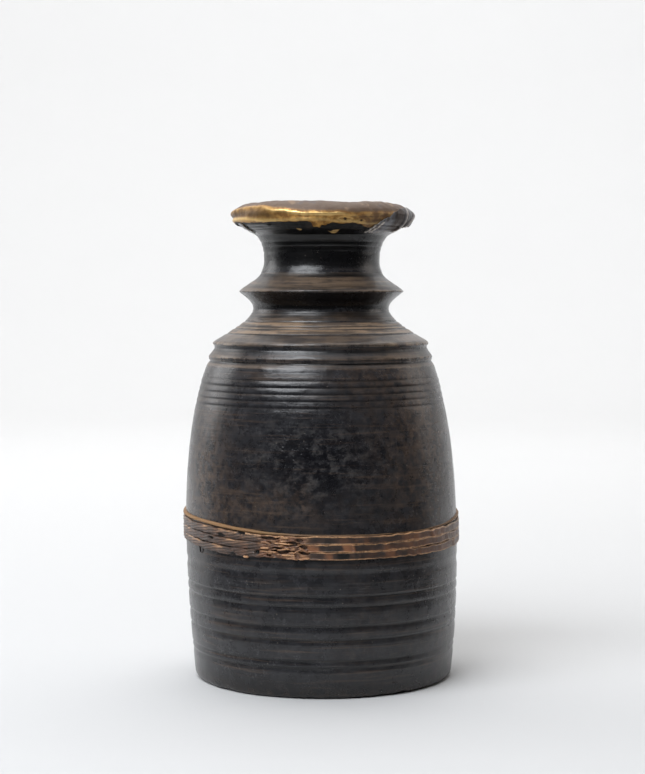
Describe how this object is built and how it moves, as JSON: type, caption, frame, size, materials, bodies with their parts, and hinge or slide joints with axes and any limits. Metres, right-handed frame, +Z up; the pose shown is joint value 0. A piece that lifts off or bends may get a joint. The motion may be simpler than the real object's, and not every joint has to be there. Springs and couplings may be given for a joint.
{
  "type": "turned wooden jar",
  "caption": "Tall turned wooden jar with a narrow flanged neck, a sheet-metal covered lip and a band of split cane round the belly, open at the top and standing on a flat foot.",
  "frame": {"origin": "centre of the flat foot, on the surface that the jar stands on", "axes": "+Z up through the open mouth, -Y towards the front, where the brass of the lip is worn bright, +X to the viewer's right"},
  "size_m": [0.1772, 0.177, 0.2955],
  "materials": {
    "black_wood": "smoke-blackened, greasy semi-gloss with dusty brown wear on the ledges",
    "rim_brass": "folded sheet, brown patina with bright worn edges",
    "dark_sheet": "dull grey folded sheet",
    "tack_metal": "darkened hammered heads",
    "dark_cane": "smoke-darkened split cane with pale worn edges",
    "pale_cane": "dry golden brown split cane"
  },
  "bodies": {
    "root": {"vessel_body": "black_wood", "rim_sheet_front": "rim_brass", "rim_sheet_right": "rim_brass", "rim_sheet_back": "rim_brass", "rim_patch": "dark_sheet", "rim_tacks": "tack_metal", "cane_hoop": "pale_cane", "cane_strand_top": "dark_cane", "cane_strand_middle": "dark_cane", "cane_strand_bottom": "dark_cane", "cane_tucked_ends": "dark_cane"}
  },
  "joints": []
}
